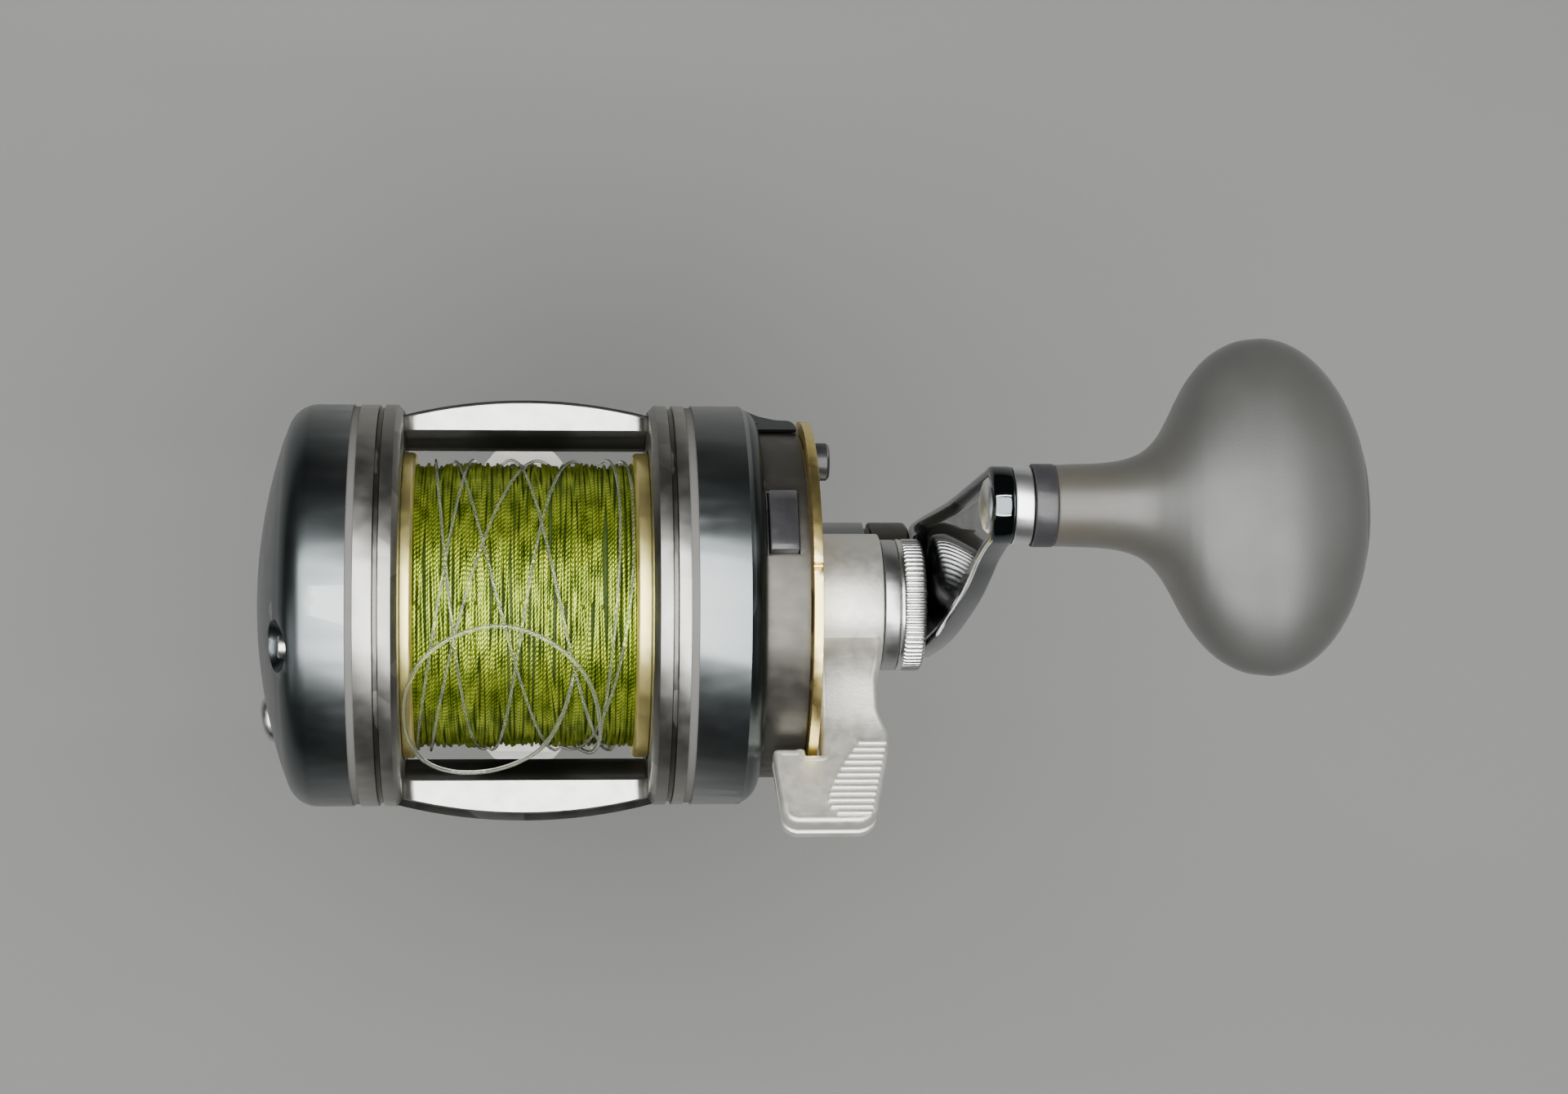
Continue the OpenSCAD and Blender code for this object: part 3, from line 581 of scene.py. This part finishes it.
# The free loop's route repeats the CAD route: X in mm, degrees behind the top, mm from the spool axis.
LEADER_D = 0.0008
LEADER_ROUTE = [
    (9.6, 91, 26.2), (11, 85, 27.3), (12.5, 74, 28.3), (13.6, 62, 28.8), (13.8, 49, 29), (12.2, 31, 29),
    (8.1, 18.6, 28.8), (2, 10.5, 28.6), (-4, 7.6, 28.6), (-9.4, 9, 28.8), (-14.8, 13.7, 29.2),
    (-18.9, 21.5, 29.6), (-21.1, 32.5, 29.9), (-21.4, 43.5, 30.3), (-20.6, 54, 30.8), (-18, 65, 31.5),
    (-13.2, 72.5, 32.1), (-7, 72, 32.2), (-1.4, 66.5, 31.6), (3.5, 58, 30.4), (6.6, 46, 28.8),
    (8.2, 35.5, 27.3), (9, 28, 26.2),
]


def make_leader_loop():
    """The free loop of clear leader that springs off the back of the spool."""
    route = [around_spool(x * MM, math.radians(a), r * MM) for x, a, r in LEADER_ROUTE]
    path = smooth_path(route, 8)
    data = bpy.data.curves.new("leader_loop_line", "CURVE")
    data.dimensions = "3D"
    data.bevel_depth = LEADER_D / 2
    data.bevel_resolution = 4
    data.use_fill_caps = True
    spline = data.splines.new("POLY")
    spline.points.add(len(path) - 1)
    for point, p in zip(spline.points, path):
        point.co = (*p, 1)
    piece = add_object("leader_loop_line", data, MONO)
    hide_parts("leader_loop")
    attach(piece, "spool_body")


def line_shade():
    """Shadowed line seen between the strands."""
    f = Finish("line_core", (0.030, 0.055, 0.005), 0.6)
    f.paint(f.mix(f.noise(0.002, 4, (6, 1, 1)), (0.015, 0.030, 0.003), (0.05, 0.09, 0.010)))
    f.vary_roughness(f.noise(0.002), 0.1)
    f.relief(f.noise(0.0006, 2, (5, 1, 1)), 0.0001, 0.6)
    return f.material


CORE_SHADE = line_shade()
make_leader_loop()
make_line()
make_leader_wraps()


# ---------------------------------------------------------------- shaped solids
def lathe(name, profile, material, place=None, steps=128):
    """A solid turned about a line along X through `place`, from [X, radius] points in metres."""
    y, z = (place.y, place.z) if place else (0, AXIS_Z)
    verts = []
    for x, r in profile:
        r = max(r, 0.00001)
        verts += [(x, y + r * math.cos(math.tau * k / steps), z + r * math.sin(math.tau * k / steps))
                  for k in range(steps)]
    return add_mesh(name, verts, grid_faces(len(profile), steps), material)


def smooth_profile(points, steps):
    """The same points with smooth curves between them, as plain tuples."""
    return [(p.x, p.y) for p in smooth_path([Vector((a, b, 0)) for a, b in points], steps)]


def inset(outline, distance):
    """Moves every point of a closed outline inward by a distance."""
    moved = []
    count = len(outline)
    for i, (a, b) in enumerate(outline):
        before, after = outline[i - 1], outline[(i + 1) % count]
        tangent = Vector((after[0] - before[0], after[1] - before[1])).normalized()
        moved.append((a - tangent.y * distance, b + tangent.x * distance))
    return moved


def dense(outline, spacing):
    """Adds points along a closed outline so that none are further apart than the spacing."""
    points = []
    for i, a in enumerate(outline):
        a, b = Vector(a), Vector(outline[(i + 1) % len(outline)])
        pieces = max(1, int((b - a).length / spacing))
        points += [tuple(a.lerp(b, k / pieces)) for k in range(pieces)]
    return points


def corner(at, before, after, radius, steps=6):
    """Round corner between two straight sides of an outline."""
    at, before, after = Vector(at), Vector(before), Vector(after)
    back, ahead = (before - at).normalized(), (after - at).normalized()
    half = back.angle(ahead) / 2
    reach = radius / math.tan(half)
    middle = at + (back + ahead).normalized() * radius / math.sin(half)
    first, last = at + back * reach, at + ahead * reach
    points = []
    for k in range(steps + 1):
        towards = (first - middle).lerp(last - middle, k / steps).normalized()
        points.append(tuple(middle + towards * radius))
    return points


def rounded_outline(corners):
    """A closed outline from [point, corner radius] pairs."""
    points = []
    count = len(corners)
    for i, (at, radius) in enumerate(corners):
        if radius:
            points += corner(at, corners[i - 1][0], corners[(i + 1) % count][0], radius)
        else:
            points.append(at)
    return points


def plate(name, outline, layers, place, material):
    """A solid plate: the outline repeated for each layer [inset, height], put in space by `place`."""
    verts, faces = [], []
    count = len(outline)
    for distance, height in layers:
        verts += [place(a, b, height) for a, b in inset(outline, distance)]
    faces += grid_faces(len(layers), count)
    faces.append(tuple(range(count)))
    faces.append(tuple((len(layers) - 1) * count + k for k in range(count)))
    return add_mesh(name, verts, faces, material)


def shade_by_angle(piece, degrees=35, flat_area=1.0):
    """Keeps sharp edges crisp and the rest smooth. Faces above flat_area, in square metres, stay flat."""
    bm = bmesh.new()
    bm.from_mesh(piece.data)
    for face in bm.faces:
        face.smooth = face.calc_area() < flat_area
    for edge in bm.edges:
        edge.smooth = len(edge.link_faces) == 2 and edge.calc_face_angle() < math.radians(degrees)
    bm.to_mesh(piece.data)
    bm.free()


def put_on(piece, body):
    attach(piece, body)


# ---------------------------------------------------------------- drag lever
LEVER_ANGLE = math.radians(180 - 36)
LEVER_OUT = Vector((0, math.cos(LEVER_ANGLE), math.sin(LEVER_ANGLE)))
LEVER_FACE = Vector((0, math.sin(LEVER_ANGLE), -math.cos(LEVER_ANGLE)))
PAD_HALF = 3.0
HUB_HALF = 6.5
RIBS = 12
RIB_PITCH = 1.36
RIB_START = 33.1
RIB_LEFT = 54.4
RIB_WIDEST = 45.5
PAD_AREA = 0.00006
TIP = 49.95


def lever_half(reach):
    """Half the lever's thickness, in mm, at a reach from the spool axis: deep at the hub, thin at the pad."""
    along = min(max((reach - 15) / 16, 0), 1)
    return HUB_HALF + (PAD_HALF - HUB_HALF) * (3 * along ** 2 - 2 * along ** 3)


def lever_place(x, reach, height):
    """A point on the lever from its X and reach in mm and its height from -1 (back) to 1 (face)."""
    point = LEVER_OUT * reach + LEVER_FACE * height * lever_half(reach)
    return Vector((x * MM, point.y * MM, AXIS_Z + point.z * MM))


def rib_left(reach):
    """X where a rib begins: the ribbed patch is a leaf shape, widest near the tip."""
    if reach < RIB_WIDEST:
        return RIB_LEFT + 6.1 * ((RIB_WIDEST - reach) / (RIB_WIDEST - RIB_START)) ** 1.5
    return RIB_LEFT + 1.4 * ((reach - RIB_WIDEST) / 2.6) ** 2


def rib_right(reach):
    """X where a rib ends, along the lever's slanted right edge."""
    return 65.9 - (reach - 33.5) * 0.24


def bend_sheet(piece, place, cuts):
    """Cuts a flat-drawn solid across at each reach, then puts its points in space."""
    bm = bmesh.new()
    bm.from_mesh(piece.data)
    for reach in cuts:
        bmesh.ops.bisect_plane(bm, geom=bm.verts[:] + bm.edges[:] + bm.faces[:],
                               plane_co=(0, reach, 0), plane_no=(0, 1, 0))
    for vert in bm.verts:
        vert.co = place(*vert.co)
    bmesh.ops.recalc_face_normals(bm, faces=bm.faces)
    bm.to_mesh(piece.data)
    bm.free()


def lever_outline():
    """The lever seen flat: X and reach in mm, with corner radii."""
    return dense(rounded_outline([
        ((53.95, 8), 0), ((66.4, 8), 0), ((66.3, 14), 0), ((64.75, 20.5), 6), ((64.8, 26), 4),
        ((66.45, 30.5), 4), ((66.1, 35), 2), ((62.8, TIP), 3.8), ((46.4, TIP), 3.0), ((45.1, 34.25), 0.7),
        ((51.0, 34.25), 0.3), ((51.0, 35.5), 0.3), ((53.95, 35.5), 0.3),
    ]), 1.0)


def make_lever():
    """The lever's arm and pad, its hub, and the ribs under the thumb."""
    layers = [(1.1, -1), (0.5, -0.97), (0.15, -0.88), (0, -0.74), (0, -0.42), (0.05, -0.34), (0.5, -0.26),
              (0.55, -0.12), (0.25, -0.02), (0.05, 0.04), (0, 0.12), (0, 0.62), (0.07, 0.78), (0.28, 0.92),
              (0.6, 0.985), (0.95, 1.0), (1.25, 0.985), (1.5, 0.965)]
    arm = plate("lever_arm", lever_outline(), layers, lambda x, reach, t: Vector((x, reach, t)), LEVER)
    bend_sheet(arm, lever_place, range(9, 34, 1))
    shade_by_angle(arm, 38, PAD_AREA)
    hub = lathe("lever_hub", [
        (0.0539, 0.0061), (0.0539, 0.0131), (0.0540, 0.0134), (0.0543, 0.0135), (0.0662, 0.0135),
        (0.0665, 0.0134), (0.0666, 0.0131), (0.0666, 0.0026), (0.0615, 0.0026), (0.0615, 0.0061),
        (0.0539, 0.0061),
    ], LEVER)
    shade_by_angle(hub)
    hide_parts("drag_lever")
    for piece in (arm, hub, make_ribs()):
        put_on(piece, "lever")


def make_ribs():
    """Thumb ribs across the pad, each a low bar with rounded edges and ends."""
    verts, faces = [], []
    low, high = 0.93, 1.11
    section = [(-0.55, 0), (-0.53, 0.6), (-0.42, 0.95), (0, 1), (0.42, 0.95), (0.53, 0.6), (0.55, 0)]
    for k in range(RIBS):
        reach = RIB_START + k * RIB_PITCH
        left, right = rib_left(reach), rib_right(reach)
        ends = [(left, 0.0, 0.6), (left + 0.04, 0.6, 0.75), (left + 0.25, 0.95, 0.95), (left + 0.6, 1, 1),
                (right - 0.5, 1, 1), (right - 0.2, 0.95, 0.95), (right - 0.03, 0.6, 0.8), (right, 0.0, 0.7)]
        base = len(verts)
        for x, rise, spread in ends:
            verts += [lever_place(x, reach + along * spread, low + (high - low) * up * rise)
                      for along, up in section]
        width = len(section)
        faces += [tuple(base + v for v in f) for f in grid_faces(len(ends), width, closed_columns=False)]
        near_side = [base + i * width for i in range(len(ends))]
        far_side = [i + width - 1 for i in reversed(near_side)]
        faces.append(tuple(near_side + far_side))
    return add_mesh("lever_ribs", verts, faces, LEVER)


# ---------------------------------------------------------------- preset knob
def make_preset_knob():
    """Knurled chrome knob: smooth rim, then rounded ridges all round."""
    low, high = (Vector(v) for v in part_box("preset_knob"))
    ridges, samples = 72, 10
    rim, ridge_top, depth = 0.0125, 0.01255, 0.00055
    stations = [
        (low.x, 0.004, 0), (low.x, rim - 0.0003, 0), (low.x + 0.00015, rim - 0.00008, 0),
        (low.x + 0.0003, rim, 0), (low.x + 0.0007, rim, 0), (low.x + 0.0009, rim - 0.0001, 0),
        (low.x + 0.0011, ridge_top - 0.0002, 0.9), (low.x + 0.0014, ridge_top, 1),
        (high.x - 0.0007, ridge_top, 1), (high.x - 0.0003, ridge_top - 0.00022, 0.8),
        (high.x - 0.0001, ridge_top - 0.0006, 0.3), (high.x, ridge_top - 0.0011, 0),
        (high.x, 0.0076, 0), (high.x - 0.0003, 0.0072, 0), (high.x - 0.0003, 0.00001, 0),
    ]
    verts = []
    count = ridges * samples
    for x, r, cut in stations:
        for k in range(count):
            a = math.tau * k / count
            wave = 1 - abs(math.cos(a * ridges / 2)) ** 0.55
            here = r - depth * cut * wave
            verts.append((x, here * math.cos(a), AXIS_Z + here * math.sin(a)))
    knob = add_mesh("preset_knob_shell", verts, grid_faces(len(stations), count), BRIGHT_CHROME)
    shade_by_angle(knob, 50)
    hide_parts("preset_knob")
    put_on(knob, "preset")


# ---------------------------------------------------------------- handle
ARM_LEAN = math.atan2(EYE.y - HANDLE.y, EYE.z - HANDLE.z)
ARM_LEN = math.hypot(EYE.y - HANDLE.y, EYE.z - HANDLE.z)
ARM_UP = Vector((0, math.sin(ARM_LEAN), math.cos(ARM_LEAN)))
ARM_SIDE = Vector((0, math.cos(ARM_LEAN), -math.sin(ARM_LEAN)))
ARM_FACE = HANDLE.x + 0.00055


def arm_place(side, up, x):
    """A point on the arm from mm across it, mm along it from the shaft, and mm from its inner face."""
    point = ARM_SIDE * side + ARM_UP * up
    return Vector((ARM_FACE + x * MM, HANDLE.y + point.y * MM, HANDLE.z + point.z * MM))


def arm_outline():
    """Round hub, a waist that curves in on its rear side, and a round eye."""
    hub, eye, length = 13.2, 6.45, ARM_LEN / MM
    round_hub = [math.radians(-180 + 6 * k) for k in range(31)]
    round_eye = [math.radians(8 * k) for k in range(23)]
    front = [(hub, 0), (12.0, 16), (10.8, 30), (9.0, 51), (8.0, 68), (7.2, 84), (6.5, length - 3)]
    rear = [(-6.6, length - 3), (-7.6, 87), (-9.4, 78), (-11.2, 67), (-12.6, 52), (-13.6, 36),
            (-13.8, 18), (-hub, 0)]
    points = [(hub * math.cos(a), hub * math.sin(a)) for a in round_hub]
    points += smooth_profile(front, 5)
    points += [(eye * math.cos(a), length + eye * math.sin(a)) for a in round_eye]
    points += smooth_profile(rear, 5)[:-1]
    return points


def make_arm():
    """The arm's blade and the low boss round its shaft."""
    layers = [(2.6, 0.55), (1.9, 0.25), (1.2, 0.06), (0.9, 0), (0.5, 0.04), (0.18, 0.2), (0, 0.5), (0, 3.3),
              (0.18, 3.6), (0.5, 3.76), (1.0, 3.8)]
    arm = plate("arm_blade", arm_outline(), layers, arm_place, ARM_CHROME_DARK_REFLECTION)
    shade_by_angle(arm, 50)
    profile = [(3.6, 10.2), (3.9, 10.2), (4.5, 10.0), (5.0, 9.5), (5.3, 8.8), (5.4, 8.0), (5.4, 3.5)]
    boss = lathe("arm_boss", [(ARM_FACE + x * MM, r * MM) for x, r in profile], ARM_CHROME_DARK_REFLECTION, HANDLE)
    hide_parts("handle_arm")
    for piece in (arm, boss):
        put_on(piece, "crank")


# ---------------------------------------------------------------- grip
GRIP_STATIONS = [
    (86.45, 6.7, 6.7), (90, 6.85, 6.8), (94, 7.0, 6.9), (98, 7.6, 7.1), (101.4, 9.0, 7.9), (104, 11.6, 9.0),
    (106, 15.0, 9.9), (107.6, 18.2, 10.6), (109.8, 21.8, 11.4), (113, 25.2, 12.1), (117.2, 27.5, 12.45),
    (121.6, 28.2, 12.5),
]
GRIP_SIDES = 96
GRIP_TAIL = 17.6
TAIL_STEPS = 40
# The end cap's edge, as a share of the tail, with the depth in mm and the spread of its groove
CAP_EDGE = 0.92
GROOVE_DEPTH = 0.22
GROOVE_SPREAD = 0.006


def grip_ring(x, wide, deep):
    """One oval ring of the grip: half width across the arm, half depth along it."""
    ring = []
    for k in range(GRIP_SIDES):
        a = math.tau * k / GRIP_SIDES
        point = ARM_SIDE * math.cos(a) * wide + ARM_UP * math.sin(a) * deep
        ring.append(Vector((x * MM, EYE.y + point.y * MM, EYE.z + point.z * MM)))
    return ring


def make_grip():
    """T-shaped grip: a round neck that swells into a deep oval bar, with a cap let into its end."""
    body = smooth_path([Vector(p) for p in GRIP_STATIONS], 5)
    rings = [(86.3, 3.2, 3.2), (86.3, 6.2, 6.2), (86.35, 6.55, 6.55)] + [tuple(p) for p in body[:-1]]
    start, wide, deep = GRIP_STATIONS[-1]
    for k in range(TAIL_STEPS + 1):
        turn = math.sin(math.pi / 2 * k / TAIL_STEPS)
        edge = math.cos(math.pi / 2 * k / TAIL_STEPS)
        groove = GROOVE_DEPTH * math.exp(-((turn - CAP_EDGE) / GROOVE_SPREAD) ** 2)
        rings.append((start + GRIP_TAIL * turn - groove, max(wide * edge - groove, 0.01),
                      max(deep * edge - groove, 0.01)))
    verts = []
    for x, w, d in rings:
        verts += grip_ring(x, w, d)
    grip = add_mesh("grip_body", verts, grid_faces(len(rings), GRIP_SIDES), GRIP)
    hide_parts("grip_knob", "grip_end_cap")
    put_on(grip, "grip")


make_lever()
make_preset_knob()
make_arm()
make_grip()


# ---------------------------------------------------------------- stage
FLOOR_Z = -0.115
FLOOR_HALF = 4.0
# Name, place, size in metres and power in watts. Each faces the reel.
LIGHTS = [
    ("panel", (0.02, -0.03, 0.98), (1.2, 0.78), 23),
    ("strip_front", (0.0, 0.40, 0.90), (1.2, 0.05), 4.5),
    ("strip_rear", (0.0, -0.44, 0.90), (1.2, 0.06), 5),
    ("fill_left", (-0.9, -0.3, 0.5), (0.5, 0.5), 0.8),
    ("fill_right", (0.9, 0.2, 0.5), (0.5, 0.5), 0.8),
]


def floor_paper():
    f = Finish("floor_paper", (0.165, 0.165, 0.160), 0.8)
    f.paint(f.mix(f.noise(0.05, 5), scaled(f.color, 0.98), scaled(f.color, 1.02)))
    return f.material


def add_light(name, place, size, power):
    data = bpy.data.lights.new(name, "AREA")
    data.shape = "RECTANGLE"
    data.size, data.size_y = size
    data.energy = power
    light = bpy.data.objects.new(name, data)
    place = Vector(place)
    facing = (Vector((0.02, 0, AXIS_Z)) - place).to_track_quat("-Z", "Y")
    light.matrix_world = Matrix.Translation(place) @ facing.to_matrix().to_4x4()
    bpy.context.collection.objects.link(light)


def make_stage():
    """Pale floor under a broad soft panel, with two narrow brighter strips in front of and behind it."""
    corners = [(x * FLOOR_HALF, y * FLOOR_HALF, FLOOR_Z) for x, y in ((-1, -1), (1, -1), (1, 1), (-1, 1))]
    floor = add_mesh("floor", corners, [(0, 1, 2, 3)], floor_paper())
    world = bpy.data.worlds.new("studio")
    world.use_nodes = True
    world.node_tree.nodes["Background"].inputs["Color"].default_value = (0.80, 0.82, 0.85, 1)
    world.node_tree.nodes["Background"].inputs["Strength"].default_value = 0.04
    bpy.context.scene.world = world
    for light in LIGHTS:
        add_light(*light)


make_stage()
